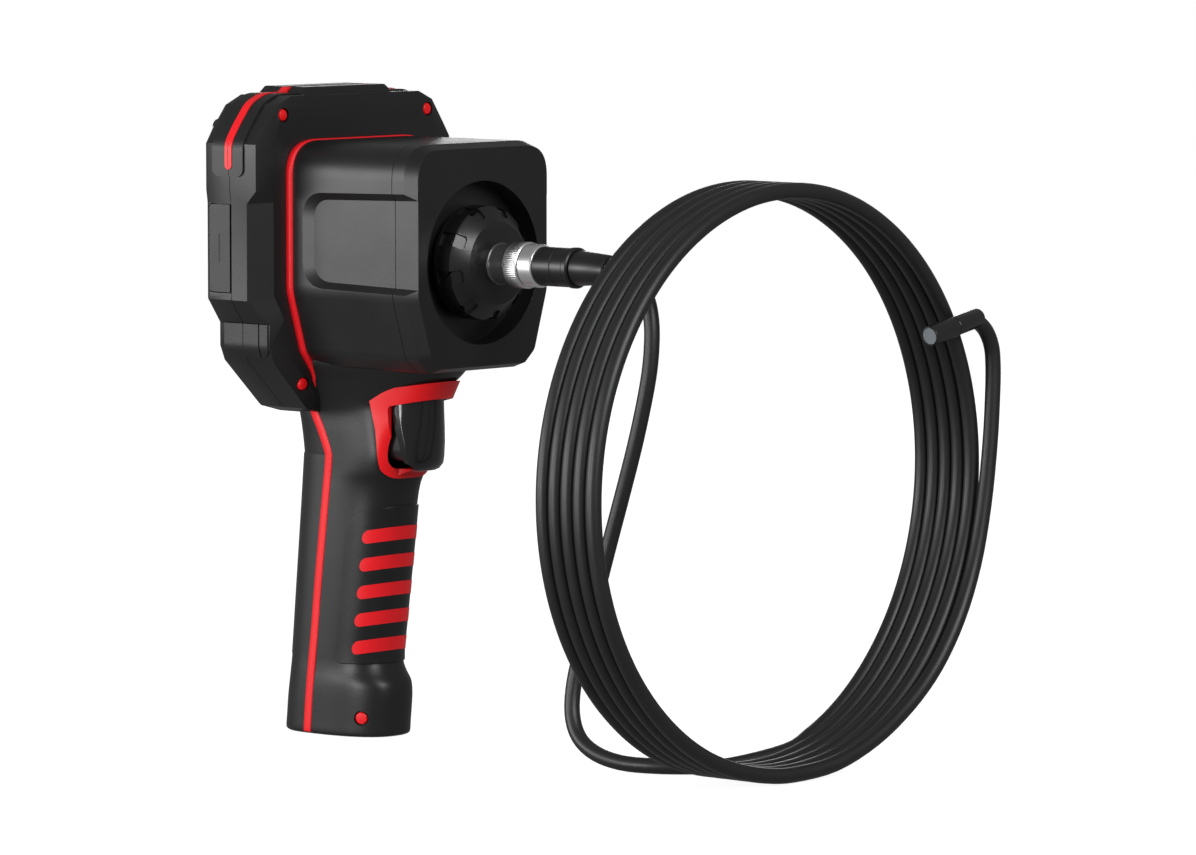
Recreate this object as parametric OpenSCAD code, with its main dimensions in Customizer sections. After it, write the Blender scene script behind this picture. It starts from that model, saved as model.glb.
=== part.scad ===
// Pistol-grip inspection camera with a coiled semi-rigid probe.
// +X points the way the probe leaves, +Y is the user's left, +Z is up.
// The origin is the centre of the flat base of the grip. Millimetres.

/* [Head] */
// Half of the width of the screen unit
head_half_w = 54; // [50:1:60]
// Height of the underside of the screen unit
head_z0 = 127; // [124:1:128]
// Height of the top of the screen unit
head_z1 = 250; // [246:1:256]
// Front plane of the screen unit
plate_x = 4; // [3:0.5:5]
// Plane on which the two halves of the screen unit meet
split_x = -11; // [-12.5:0.5:-10.5]
// Rear plane of the screen unit
rear_x = -27; // [-29:0.5:-26]
// Wall of the mouldings
wall = 2.5; // [2:0.1:3]

/* [Nose] */
// Height of the probe axis
probe_z = 187; // [185:1:189]
// Half of the width of the nose
nose_half_w = 38.4; // [37:0.2:40]
// Front plane of the nose
nose_x = 71.5; // [69:0.5:74]
// Seam between the nose and its cap
cap_x = 58; // [56:1:60]
// Radius of the round recess in the nose cap
recess_r = 31.5; // [29:0.5:32]
// Floor of the round recess
recess_x = 62; // [61:0.5:63]

/* [Grip] */
// Lean of the grip from the vertical, in degrees
rake = 4.8; // [3:0.2:6]
// Half of the width of the grip
grip_half_w = 17; // [16:0.5:18]
// Width of the red seal between the shells
seal_w = 3.2; // [2:0.2:4]
// Height of each red grip bar
bar_h = 5.3; // [4:0.1:6]
// Distance between red grip bars
bar_pitch = 10.7; // [9:0.1:12]

/* [Probe] */
// Diameter of the probe cable
cable_d = 6; // [5.5:0.1:6.5]
// Radius of the coil, to the middle of the cable
coil_r = 108.5; // [100:0.5:115]
// Number of turns in the coil
coil_turns = 5; // [3:1:5]
// Plane of the first turn
coil_x = 200; // [195:1:210]
// Diameter of the camera head on the tip
tip_d = 7.8; // [7:0.1:8.5]

/* [Hidden] */

$fn = 64;
gap = 0.35;            // clearance round a moving cover, key or trigger
run = 0.05;            // radial clearance of a running fit
round_fn = 32;         // facets of the rounded outlines

black = "#1b1b1c";
rubber = "#242425";
red = "#c8161d";
metal = "#c9ccd0";

// ---------- shared outlines and frames ----------

// Extrudes a Y-Z outline between two X planes
module along_x(x0, x1) {
  translate([x0, 0, 0]) rotate([90, 0, 90]) linear_extrude(x1 - x0) children();
}

// Extrudes an X-Z outline across the middle plane, to a half width either side
module across_y(half) {
  translate([0, half, 0]) rotate([90, 0, 0]) linear_extrude(2 * half) children();
}

module mirrored_y() {
  children();
  mirror([0, 1, 0]) children();
}

// A cylinder along X
module rod_x(x0, x1, r) {
  translate([x0, 0, probe_z]) rotate([0, 90, 0]) cylinder(r = r, h = x1 - x0);
}

function mirror_points(p) = concat(p, [for (i = [len(p) - 1 : -1 : 0]) [-p[i][0], p[i][1]]]);

// Right half of the outline of the screen unit, from the bottom to the top
head_half = [
  [16, head_z0], [25, head_z0 + 3], [44, head_z0 + 21], [47, head_z0 + 26],
  [47, head_z0 + 35], [head_half_w, head_z0 + 45], [head_half_w, head_z1 - 18],
  [head_half_w - 3.5, head_z1 - 13], [head_half_w - 11, head_z1 - 4], [head_half_w - 19, head_z1]
];

module head_outline(inset = 0) {
  offset(delta = -inset) polygon(mirror_points(head_half));
}

cap_base_half = 24;
cap_top_half = 20;
cap_rise = 3.3;

// Outline of the screen unit with the pad on its top
module crown_outline(inset = 0) {
  offset(delta = -inset) {
    polygon(mirror_points(head_half));
    polygon([
      [-cap_base_half, head_z1 - 1], [cap_base_half, head_z1 - 1],
      [cap_top_half, head_z1 + cap_rise], [-cap_top_half, head_z1 + cap_rise]
    ]);
  }
}

nose_top = 233;
nose_low = 144.5;
nose_shoulder = 178;
nose_low_half = 27;
nose_corner = 12;

module nose_outline(inset = 0) {
  offset(delta = -inset, $fn = round_fn)
    offset(r = nose_corner, $fn = 48) offset(delta = -nose_corner)
      polygon([
        [-nose_half_w, nose_top], [nose_half_w, nose_top], [nose_half_w, nose_shoulder],
        [nose_low_half, nose_low], [-nose_low_half, nose_low], [-nose_half_w, nose_shoulder]
      ]);
}

// Plan section of the grip: round at the front, rounded corners at the back
grip_front_x = 6.4;
grip_back_x = -12.6;
grip_back_r = 12;
part_x = -6.2;         // parting plane of the grip, in the leaning frame
grip_top = 127;

module grip_section(inset = 0) {
  offset(delta = -inset) hull() {
    translate([grip_front_x, 0]) circle(grip_half_w, $fn = round_fn);
    for (s = [-1, 1])
      translate([grip_back_x, s * (grip_half_w - grip_back_r)]) circle(grip_back_r, $fn = round_fn);
  }
}

// The leaning frame of the grip
module lean() {
  rotate([0, rake, 0]) children();
}

// A length of the grip's shell, in the leaning frame
module grip_shell(z0, z1, x0, x1) {
  translate([0, 0, z0]) linear_extrude(z1 - z0) intersection() {
    difference() {
      grip_section();
      grip_section(wall);
    }
    translate([x0, -30]) square([x1 - x0, 60]);
  }
}

// The closed foot of the grip
module grip_foot(x0, x1) {
  translate([0, 0, -4]) linear_extrude(4 + wall) intersection() {
    grip_section();
    translate([x0, -30]) square([x1 - x0, 60]);
  }
}

module below_floor() {
  translate([-80, -40, -20]) cube([160, 80, 20]);
}

// Block that carries the grip into the underside of the nose
neck_half = 16;
neck_x0 = plate_x + 4;
neck_profile = [[neck_x0, 147], [neck_x0, 104], [30, 104], [54, 147]];

// ---------- trigger opening ----------

open_half = 12.3;
open_low = 102.4;
open_high = 139;
open_back = 17;

module trigger_opening() {
  translate([open_back, -open_half, open_low]) cube([60, 2 * open_half, open_high - open_low]);
}

frame_half = 17.2;
frame_profile = [
  [26, 132], [28, 135.5], [51.5, 144], [49, 138], [33, 131.5], [33, 104], [31, 98], [27.6, 101], [26, 108]
];

// ---------- side panels of the nose ----------

panel_deep = 2;
panel_x = 14;

module nose_panels() {
  mirrored_y()
    translate([0, -nose_half_w - 1, 0]) rotate([-90, 0, 0]) linear_extrude(panel_deep + 1)
      mirror([0, 1]) offset(r = 6, $fn = round_fn) offset(delta = -6)
        polygon([[panel_x, 179], [90, 176], [90, 213.5], [panel_x, 212]]);
}

// ---------- battery bay ----------

bay_z0 = 30;
bay_z1 = 110;
bay_half = 11.5;
door_wall = 2.2;

module battery_bay() {
  lean() translate([-60, -bay_half - gap, bay_z0 - gap])
    cube([46, 2 * (bay_half + gap), bay_z1 - bay_z0 + 2 * gap]);
}

// ---------- screws ----------

head_screw_at = [[40.6, 243], [29.9, 138.5]];
head_screw_r = 2.6;
grip_screw_z = 11;
grip_screw_x = 15;

module head_screw_pockets() {
  for (p = head_screw_at, s = [-1, 1])
    translate([plate_x - 2, s * p[0], p[1]]) rotate([0, 90, 0]) cylinder(r = head_screw_r, h = 10);
}

module grip_screw_pockets() {
  for (s = [-1, 1])
    translate([grip_screw_x, s * (grip_half_w - 3.4), grip_screw_z])
      rotate([-90 * s, 0, 0]) cylinder(r = head_screw_r, h = 10);
}

// ---------- mouldings ----------

front_x = part_x + seal_w / 2;
rear_part_x = part_x - seal_w / 2;
seal_x1 = plate_x + 2.6;

module front_housing() {
  color(black) difference() {
    union() {
      along_x(seal_x1, cap_x) nose_outline();
      difference() {
        across_y(neck_half) polygon(neck_profile);
        across_y(neck_half - wall) polygon([[neck_x0 - 1, 150], [neck_x0 - 1, 100], [28, 100], [50, 150]]);
      }
      lean() {
        grip_shell(-4, grip_top, front_x, 60);
        grip_foot(front_x, 60);
      }
    }
    along_x(seal_x1 + wall, cap_x - wall) nose_outline(wall);
    along_x(seal_x1 - 1, seal_x1 + wall + 1) nose_outline(9);
    across_y(neck_half - wall) polygon([[neck_x0 + wall, 150], [neck_x0 + wall, 118], [32, 118], [44, 150]]);
    across_y(frame_half + 1) {
      polygon(frame_profile);
      polygon([[32, 131.5], [48, 138], [51, 144], [70, 144], [70, 90], [31, 98], [32, 104]]);
    }
    nose_panels();
    trigger_opening();
    lean() pad_zone();
    grip_screw_pockets();
    rod_x(cap_x - wall - 1, cap_x + 1, 15);
    pin_bore();
    below_floor();
  }
}

module rear_housing() {
  color(black) difference() {
    union() {
      intersection() {
        along_x(split_x, plate_x) head_outline();
        hull() {
          along_x(split_x - 1, plate_x - 7) offset(delta = 1) hull() head_outline();
          along_x(plate_x - 1, plate_x) offset(delta = -6) hull() head_outline();
        }
      }
      lean() {
        grip_shell(-4, grip_top + 2, -60, rear_part_x);
        grip_foot(-60, rear_part_x);
      }
    }
    along_x(split_x - 1, plate_x - wall) head_outline(wall);
    along_x(plate_x - wall - 1, plate_x + 1) nose_outline(9);
    lean() translate([0, 0, grip_top - 8]) linear_extrude(14) intersection() {
      grip_section(wall);
      translate([-60, -30]) square([60 + rear_part_x, 60]);
    }
    battery_bay();
    bumper_zones();
    top_trim_zone();
    head_screw_pockets();
    cover_pockets();
    translate([-80, -60, head_z0 - gap]) cube([80 + split_x, 120, 10]);
    below_floor();
  }
}

module back_cover() {
  color(black) difference() {
    intersection() {
      along_x(rear_x, split_x) head_outline();
      hull() {
        along_x(rear_x, rear_x + 1) offset(delta = -2.5) hull() head_outline();
        along_x(rear_x + 3, split_x + 1) offset(delta = 1) hull() head_outline();
      }
    }
    along_x(rear_x + wall, split_x + 1) head_outline(wall);
    along_x(rear_x - 1, rear_x + 1.2) glass_outline(0.1);
    along_x(rear_x - 1, rear_x + wall + 1) square_at(0, glass_z, 86, 52);
    key_holes();
    bumper_zones();
    top_trim_zone();
    cover_pockets();
  }
}

module nose_cap() {
  flare = nose_x - cap_x - 2.3;
  color(black) difference() {
    intersection() {
      along_x(cap_x, nose_x) nose_outline();
      hull() {
        along_x(cap_x - 0.2, cap_x - 0.1) nose_outline(-flare);
        along_x(nose_x - 0.1, nose_x) nose_outline(2);
      }
    }
    rod_x(recess_x, nose_x + 1, recess_r);
    rod_x(cap_x - 1, nose_x, bearing_r);
    nose_panels();
  }
}

// ---------- red trims ----------

module trim_seal() {
  seal_t = 3;
  color(red) {
    difference() {
      along_x(plate_x, seal_x1) nose_outline(-1.2);
      along_x(plate_x - 1, plate_x + 4) nose_outline(wall);
      translate([-50, -neck_half, 100]) cube([100, 2 * neck_half, 50]);
    }
    difference() {
      lean() {
        translate([rear_part_x, -grip_half_w - 0.3, -4]) cube([seal_w, 2 * grip_half_w + 0.6, 6]);
        for (s = [-1, 1]) translate([rear_part_x, s * (grip_half_w - 1.2) - seal_t / 2, 1])
          cube([seal_w, seal_t, grip_top - 3]);
      }
      below_floor();
    }
  }
}

trim_w = 4.2;
trim_deep = 1.4;

module top_trim_zone() {
  intersection() {
    difference() {
      along_x(split_x - trim_w / 2, split_x + trim_w / 2) crown_outline(-1);
      along_x(split_x - trim_w, split_x + trim_w) crown_outline(trim_deep);
    }
    translate([-60, -80, head_z1 - 28.5]) cube([100, 160, 60]);
  }
}

module top_trim() {
  color(red) intersection() {
    difference() {
      along_x(split_x - trim_w / 2, split_x + trim_w / 2) crown_outline(-0.3);
      along_x(split_x - trim_w, split_x + trim_w) crown_outline(trim_deep);
    }
    translate([-60, -80, head_z1 - 28.5]) cube([100, 160, 60]);
  }
}

// ---------- bumpers ----------

bumper_t = 2;
upper_x0 = -20.2;
upper_x1 = -3.5;
upper_low = 219;
lower_x1 = -3.2;
lower_low = 136;
lower_high = 160;

module bumper_band(x0, x1, z0, z1, inner) {
  intersection() {
    difference() {
      along_x(x0, x1) head_outline(-0.3);
      along_x(x0 - 1, x1 + 1) head_outline(bumper_t);
    }
    translate([-60, inner, z0]) cube([100, 80, z1 - z0]);
  }
}

module bumper_zones() {
  mirrored_y() {
    bumper_band(upper_x0, upper_x1, upper_low, 280, 24);
    bumper_band(upper_x0, lower_x1, lower_low, lower_high, 24);
  }
}

module bumper_upper_left() {
  color(rubber) difference() {
    bumper_band(upper_x0, upper_x1, upper_low, 280, 24);
    top_trim_zone();
  }
}

module bumper_upper_right() {
  mirror([0, 1, 0]) bumper_upper_left();
}

module bumper_lower_left() {
  color(rubber) bumper_band(upper_x0, lower_x1, lower_low, lower_high, 24);
}

module bumper_lower_right() {
  mirror([0, 1, 0]) bumper_lower_left();
}

// Pad along the top of the screen unit, under the red trim
module top_bumper() {
  color(rubber) difference() {
    along_x(-24.5, 0) polygon([
      [-cap_base_half, head_z1], [cap_base_half, head_z1],
      [cap_top_half, head_z1 + cap_rise], [-cap_top_half, head_z1 + cap_rise]
    ]);
    top_trim_zone();
  }
}

// ---------- screen side ----------

glass_z = 211;
glass_w = 96;
glass_h = 60;

module square_at(y, z, w, h) {
  translate([y - w / 2, z - h / 2]) square([w, h]);
}

module glass_outline(grow = 0) {
  offset(r = 4 + grow, $fn = round_fn) square_at(0, glass_z, glass_w - 8, glass_h - 8);
}

module display_glass() {
  color("#0b0d10") along_x(rear_x, rear_x + 1.2) glass_outline();
}

module lcd_module() {
  color("#5b5f66") along_x(rear_x + wall + 0.2, rear_x + wall + 3.2) square_at(0, glass_z - 1, 86, 54);
}

module main_board() {
  color("#1f5a35") {
    along_x(-14.8, -13.2) square_at(0, 202, 92, 64);
    along_x(-13.2, -10.7) square_at(-12, 212, 22, 22);
    along_x(-13.2, -11.2) square_at(18, 204, 14, 18);
    along_x(-13.2, -11.7) square_at(-14, 184, 30, 6);
  }
}

module keypad_mat() {
  color("#3a3a3c") along_x(rear_x + 5.6, rear_x + 6.8) square_at(0, 156, 56, 30);
}

key_z = 156;
round_key_r = 5.5;
small_key_r = 4.5;
key_side_y = 21;
bar_key_z = 13;
bar_key_half = 4;
bar_key_r = 3;

module key_shape(y, z, r, half) {
  for (s = [-1, 1]) translate([y + s * half, z]) circle(r);
  if (half > 0) translate([y - half, z - r]) square([2 * half, 2 * r]);
}

module key_body(y, z, r, half) {
  color("#2c2c2e") {
    along_x(rear_x - 1, rear_x + wall + 0.6) key_shape(y, z, r, half);
    along_x(rear_x + wall + 0.4, rear_x + wall + 1.4) key_shape(y, z, r + 1, half);
  }
}

module key_holes() {
  along_x(rear_x - 1, rear_x + wall + 1) {
    key_shape(0, key_z, round_key_r + gap, 0);
    key_shape(key_side_y, key_z, small_key_r + gap, 0);
    key_shape(-key_side_y, key_z, small_key_r + gap, 0);
    key_shape(0, key_z + bar_key_z, bar_key_r + gap, bar_key_half);
    key_shape(0, key_z - bar_key_z, bar_key_r + gap, bar_key_half);
  }
}

module key_ok() { key_body(0, key_z, round_key_r, 0); }
module key_power() { key_body(-key_side_y, key_z, small_key_r, 0); }
module key_back() { key_body(key_side_y, key_z, small_key_r, 0); }
module key_up() { key_body(0, key_z + bar_key_z, bar_key_r, bar_key_half); }
module key_down() { key_body(0, key_z - bar_key_z, bar_key_r, bar_key_half); }

// ---------- side covers and ports ----------

cover_x0 = -22.8;
cover_x1 = -11.7;
cover_z0 = 174.5;
cover_z1 = 208.5;
cover_t = 1.6;
port_x = -17.2;

module cover_blank(clear) {
  translate([cover_x0 - clear, head_half_w - cover_t - clear, cover_z0 - clear])
    cube([cover_x1 - cover_x0 + 2 * clear, cover_t + 1 + clear, cover_z1 - cover_z0 + 2 * clear]);
}

// Pockets for both covers, with the port openings behind them
module cover_pockets() {
  mirrored_y() {
    cover_blank(gap);
    translate([port_x - 2.2, head_half_w - 6, 181]) cube([4.4, 8, 21]);
  }
}

// Rubber cover that swings on the round bead along its front edge
module left_cover() {
  bead_r = cover_t / 2;
  color(rubber) {
    translate([cover_x0, head_half_w - cover_t, cover_z0])
      cube([cover_x1 - cover_x0 - bead_r, cover_t, cover_z1 - cover_z0]);
    translate([cover_x1 - bead_r, head_half_w - bead_r, cover_z0])
      cylinder(r = bead_r, h = cover_z1 - cover_z0);
    translate([port_x - 1.7, head_half_w - cover_t - 1.4, 183]) cube([3.4, 1.5, 17]);
  }
}

module card_cover() { left_cover(); }
module usb_cover() { mirror([0, 1, 0]) left_cover(); }

module card_slot() {
  color(metal) translate([port_x - 1.2, head_half_w - 20, 184]) difference() {
    cube([2.4, 16, 15]);
    translate([0.5, 2, 1.5]) cube([1.4, 15, 12]);
  }
}

module usb_port() {
  color(metal) translate([port_x - 1.7, -head_half_w + 4, 186]) {
    difference() {
      cube([3.4, 12, 10]);
      translate([0.4, -1, 0.6]) cube([2.6, 10, 8.8]);
    }
    translate([1.3, 2, 2]) cube([0.8, 8, 6]);
  }
}

// ---------- rotary connector ----------

dial_r = 22;
dial_x0 = 65.4;
dial_x1 = 74.8;
dial_tip = 79.2;
dial_face_r = 15.9;
dial_hub_r = 9;
dial_hub_x = 50;
notch_count = 9;
notch_r = 17.2;
notch_x = 71.7;
notch_w = 5.6;
socket_shaft_r = 5;
socket_r = 7.5;
bearing_r = 13;
nut_r = 9;
nut_x0 = 88.9;
nut_x1 = 96;
plug_x1 = 103;
sleeve_x1 = 120.8;
boot_x1 = 137;

module dial() {
  color(black) difference() {
    translate([0, 0, probe_z]) rotate([0, 90, 0]) rotate_extrude()
      polygon([
        [socket_shaft_r, dial_hub_x], [dial_hub_r, dial_hub_x], [dial_hub_r, dial_x0],
        [dial_r, dial_x0], [dial_r, dial_x1], [dial_face_r, dial_tip], [socket_shaft_r, dial_tip + 1]
      ]);
    for (i = [0 : notch_count - 1])
      translate([notch_x, 0, probe_z]) rotate([(i + 0.1) * 360 / notch_count, 0, 0])
        translate([0, notch_r, -notch_w / 2]) cube([20, 20, notch_w]);
    translate([0, 0, probe_z]) rotate([0, 90, 0]) translate([0, 0, ring_x - 0.1])
      rotate_extrude() translate([ring_in_r, 0]) square([5, ring_t + 0.2]);
  }
}

ring_x = 53.4;
ring_t = 1.2;
ring_in_r = 8;

module retaining_ring() {
  color(metal) difference() {
    rod_x(ring_x, ring_x + ring_t, 11.6);
    rod_x(ring_x - 1, ring_x + ring_t + 1, ring_in_r + run);
  }
}

module dial_bearing() {
  color("#b08d4a") difference() {
    rod_x(cap_x - 2, recess_x, bearing_r);
    rod_x(cap_x - 3, recess_x + 1, dial_hub_r + run);
  }
}

module rotary_socket() {
  color(black) {
    rod_x(dial_hub_x - 6, dial_tip + 1, socket_shaft_r);
    rod_x(dial_tip + 1, 93, socket_r);
  }
}

module coupling_nut() {
  knurls = 48;
  color(metal) difference() {
    rod_x(nut_x0, nut_x1, nut_r);
    rod_x(nut_x0 - 1, nut_x1 - 1.6, socket_r + run);
    rod_x(nut_x1 - 2, nut_x1 + 1, 6.5 + run);
    for (i = [0 : knurls - 1])
      translate([nut_x0 + 0.8, 0, probe_z]) rotate([i * 360 / knurls, 0, 0])
        translate([0, nut_r - 0.25, 0]) rotate([45, 0, 0]) cube([nut_x1 - nut_x0 - 2.2, 0.7, 0.7]);
  }
}

module plug_body() {
  color(metal) {
    rod_x(93.1, nut_x1 + 0.3, 6.5);
    rod_x(nut_x1 + 0.3, plug_x1, 8.3);
  }
}

module plug_sleeve() {
  color(black) translate([0, 0, probe_z]) rotate([0, 90, 0]) rotate_extrude()
    polygon([
      [0, plug_x1], [7.5, plug_x1], [7.5, 111.8], [7.2, 112.2], [7.5, 112.6],
      [7.5, 118], [7.8, 118.6], [7.8, sleeve_x1 - 0.6], [7, sleeve_x1], [0, sleeve_x1]
    ]);
}

module strain_relief() {
  color(rubber) translate([0, 0, probe_z]) rotate([0, 90, 0])
    translate([0, 0, sleeve_x1 + 0.3]) cylinder(r1 = 6.8, r2 = 5.6, h = boot_x1 - sleeve_x1 - 0.3);
}

// ---------- probe cable ----------

cable_r = cable_d / 2;
coil_y = 1;
coil_z = coil_r + cable_r;

// The lead from the strain relief down to the floor and into the first turn
lead_points = [
  [137, 0, 187], [146, -0.4, 185.8], [153, -1.4, 182], [158, -2.6, 176], [160.6, -3.6, 168.5],
  [161.4, -4.4, 160], [160.8, -5, 150], [158.6, -5.6, 138], [154.6, -6.2, 122], [149.2, -6.8, 104],
  [143.4, -8, 84], [138.4, -10, 64], [134.6, -13, 46], [132.8, -16, 32], [134, -18.6, 20],
  [139, -20.4, 11.4], [148, -21.2, 6.2], [160, -20.4, 3.6], [173, -16.4, 3.1], [185, -8, 3.1],
  [193.6, 3, 3.2], [198, 14, 4], [200, 26, 6.2]
];

// The tail from the last turn up to the tip
tail_points = [
  [227, 1, 3], [229.4, 22, 5.2], [230.2, 44, 12.4], [230.4, 64, 23.4], [230.6, 80, 36.6],
  [230.8, 93, 53.6], [231, 102.4, 73.6], [231.2, 108.2, 96], [231.4, 111.6, 120], [231.6, 112.8, 140],
  [231.6, 112.8, 150.6], [231.6, 111.7, 157], [231.6, 108.4, 162.6], [231.6, 103.6, 166.2], [231.6, 99.4, 167.2]
];

tip_lean = 100.7;      // turns the tip from straight up to nearly level, towards -Y
tip_at = [231.6, 99.4, 167.2];
sleeve_l = 11;
head_l = 14.6;

function unit(v) = v / norm(v);
function tangent(p, i) = unit(p[min(i + 1, len(p) - 1)] - p[max(i - 1, 0)]);
function ring(c, t, r, n) = let (
    side = unit(cross(t, abs(t[1]) > 0.9 ? [1, 0, 0] : [0, 1, 0])),
    other = cross(t, side))
  [for (k = [0 : n - 1]) c + r * (side * cos(k * 360 / n) + other * sin(k * 360 / n))];

// A closed tube swept along a list of points
module tube(p, r, first, last) {
  n = 10;
  m = len(p);
  frames = [for (i = [0 : m - 1]) i == 0 ? first : (i == m - 1 ? last : tangent(p, i))];
  rings = [for (i = [0 : m - 1]) each ring(p[i], frames[i], r, n)];
  sides = [for (i = [0 : m - 2], k = [0 : n - 1]) let (a = i * n + k, b = i * n + (k + 1) % n)
    each [[a, b, b + n], [a, b + n, a + n]]];
  polyhedron(rings, concat(sides, [[for (k = [n - 1 : -1 : 0]) k]],
    [[for (k = [0 : n - 1]) (m - 1) * n + k]]));
}

module probe_cable_lead() {
  color("#151515") tube(lead_points, cable_r, [1, 0, 0], unit([0.15, 1, 0.22]));
}

module probe_cable_coil() {
  color("#151515") translate([coil_x, coil_y, coil_z]) rotate([0, 90, 0]) rotate_extrude($fn = 128)
    translate([coil_r - cable_r, -cable_r]) square([cable_d, coil_turns * cable_d]);
}

module probe_cable_tail() {
  color("#151515") tube(tail_points, cable_r, [0.1, 1, 0], [0, -0.983, -0.1]);
}

module on_tip() {
  translate(tip_at) rotate([tip_lean, 0, 0]) children();
}

module tip_sleeve() {
  color("#1d1d1f") on_tip() difference() {
    union() {
      cylinder(r1 = 3.3, r2 = 3.7, h = 1);
      translate([0, 0, 1]) cylinder(r = 3.7, h = sleeve_l - 1);
    }
    translate([0, 0, 3]) cylinder(r = 2.6, h = sleeve_l);
  }
}

tip_r = tip_d / 2;

module tip_housing() {
  color("#2a2a2c") on_tip() difference() {
    translate([0, 0, sleeve_l]) cylinder(r = tip_r, h = head_l);
    translate([0, 0, sleeve_l + 2]) cylinder(r = tip_r - 0.7, h = head_l);
    translate([0, 0, sleeve_l - 1]) cylinder(r = 2, h = 4);
  }
}

module tip_window() {
  color("#8fa3b0") on_tip() translate([0, 0, sleeve_l + head_l - 1]) cylinder(r = tip_r - 0.75, h = 0.8);
}

module tip_leds() {
  color("#f4e7a8") on_tip() for (a = [0 : 60 : 300])
    rotate([0, 0, a]) translate([2.5, 0, sleeve_l + head_l - 2]) cylinder(r = 0.5, h = 0.8);
}

module tip_camera() {
  color("#101418") on_tip() {
    translate([0, 0, sleeve_l + 3]) cylinder(r = 1.8, h = head_l - 4.4);
    translate([0, 0, sleeve_l + head_l - 1.5]) cylinder(r1 = 1.6, r2 = 1.2, h = 0.4);
  }
}

// ---------- trigger ----------

trigger_half = 11.8;
rib_z = 109.6;
pin_x = 28;
pin_z = 135.5;
pin_r = 1.5;

// The hole for the trigger's pin, at a clearance
module pin_bore(clear = 0) {
  translate([pin_x, 20, pin_z]) rotate([90, 0, 0]) cylinder(r = pin_r + clear, h = 40);
}

// A hollow shell on a lug, with a rib that reaches the switch
module trigger() {
  color("#161617") difference() {
    union() {
      difference() {
        across_y(trigger_half) offset(r = 2, $fn = 24) offset(delta = -2)
          polygon([[25, 106], [36, 104], [39.5, 107], [41.5, 120], [40.5, 130], [30, 130], [25, 126]]);
        across_y(trigger_half - 2) offset(delta = -2.4)
          polygon([[15, 104], [36, 104], [39.5, 107], [41.5, 120], [40.5, 130], [30, 130], [15, 126]]);
      }
      across_y(1.6) translate([24.6, rib_z]) square([11, 4]);
      across_y(4) polygon([[25.5, 126], [31, 126], [31.4, 136.2], [29.6, 138.2], [26, 138]]);
    }
    pin_bore(run);
  }
}

module trigger_frame() {
  color(red) difference() {
    across_y(frame_half) polygon(frame_profile);
    trigger_opening();
    pin_bore();
  }
}

module trigger_pin() {
  color(metal) translate([pin_x, open_half + 2, pin_z]) rotate([90, 0, 0])
    cylinder(r = pin_r, h = 2 * open_half + 4);
}

// Torsion spring round the pin
module trigger_spring() {
  color(metal) translate([pin_x, 9, pin_z]) rotate([90, 0, 0]) difference() {
    cylinder(r = 2.4, h = 4.4);
    translate([0, 0, -1]) cylinder(r = pin_r + 0.2, h = 8);
  }
}

module trigger_switch() {
  color("#303034") {
    translate([8, -5, 107]) cube([10, 10, 16]);
    translate([18, -1.5, rib_z]) cube([2.4, 3, 3]);
  }
}

// ---------- grip ----------

pad_z0 = 30;
pad_z1 = 89;
pad_deep = 1.6;
pad_x = 9;
bar_tilt = -9;

// The front of the grip's outline, as a band, in the leaning frame
module pad_band(proud) {
  intersection() {
    difference() {
      grip_section(-proud);
      grip_section(pad_deep);
    }
    translate([pad_x, -30]) square([40, 60]);
  }
}

module pad_zone() {
  translate([0, 0, pad_z0]) linear_extrude(pad_z1 - pad_z0) pad_band(1);
}

module bar_slabs() {
  for (i = [0 : 4])
    translate([16, 0, pad_z0 + 8 + i * bar_pitch]) rotate([0, bar_tilt, 0])
      translate([-5, -30, -bar_h / 2]) cube([40, 60, bar_h]);
}

module grip_pad() {
  color(rubber) lean() difference() {
    translate([0, 0, pad_z0]) linear_extrude(pad_z1 - pad_z0) pad_band(0);
    bar_slabs();
  }
}

module grip_bars() {
  color(red) lean() intersection() {
    translate([0, 0, pad_z0]) linear_extrude(pad_z1 - pad_z0) pad_band(0.4);
    bar_slabs();
  }
}

// ---------- battery ----------

module battery_door() {
  color(black) lean() translate([0, 0, bay_z0]) linear_extrude(bay_z1 - bay_z0) intersection() {
    difference() {
      grip_section();
      grip_section(door_wall);
    }
    translate([-60, -bay_half]) square([44, 2 * bay_half]);
  }
}

cell_r = 9.2;
cell_l = 65;

module battery_cells() {
  color("#2f6fb0") lean() for (x = [-9.6, 9.4])
    translate([x, 0, 36]) cylinder(r = cell_r, h = cell_l);
}

module battery_contacts() {
  color(metal) lean() for (x = [-9.6, 9.4], z = [33.8, 101.2])
    translate([x - 4, -5, z]) cube([8, 10, 2]);
}

// ---------- screws ----------

module head_screws() {
  color(red) for (p = head_screw_at, s = [-1, 1])
    translate([plate_x - 2, s * p[0], p[1]]) rotate([0, 90, 0]) cylinder(r = head_screw_r - 0.1, h = 1.6);
}

module grip_screws() {
  color(red) for (s = [-1, 1])
    translate([grip_screw_x, s * (grip_half_w - 3.4), grip_screw_z])
      rotate([-90 * s, 0, 0]) cylinder(r = head_screw_r - 0.1, h = 2);
}

front_housing();
rear_housing();
back_cover();
nose_cap();
trim_seal();
top_trim();
top_bumper();
bumper_upper_right();
bumper_upper_left();
bumper_lower_right();
bumper_lower_left();
display_glass();
lcd_module();
main_board();
keypad_mat();
key_power();
key_back();
key_ok();
key_up();
key_down();
usb_cover();
usb_port();
card_cover();
card_slot();
dial();
dial_bearing();
retaining_ring();
rotary_socket();
coupling_nut();
plug_body();
plug_sleeve();
strain_relief();
probe_cable_lead();
probe_cable_coil();
probe_cable_tail();
tip_sleeve();
tip_housing();
tip_window();
tip_leds();
tip_camera();
trigger();
trigger_frame();
trigger_pin();
trigger_spring();
trigger_switch();
grip_pad();
grip_bars();
battery_door();
battery_cells();
battery_contacts();
head_screws();
grip_screws();
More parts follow.
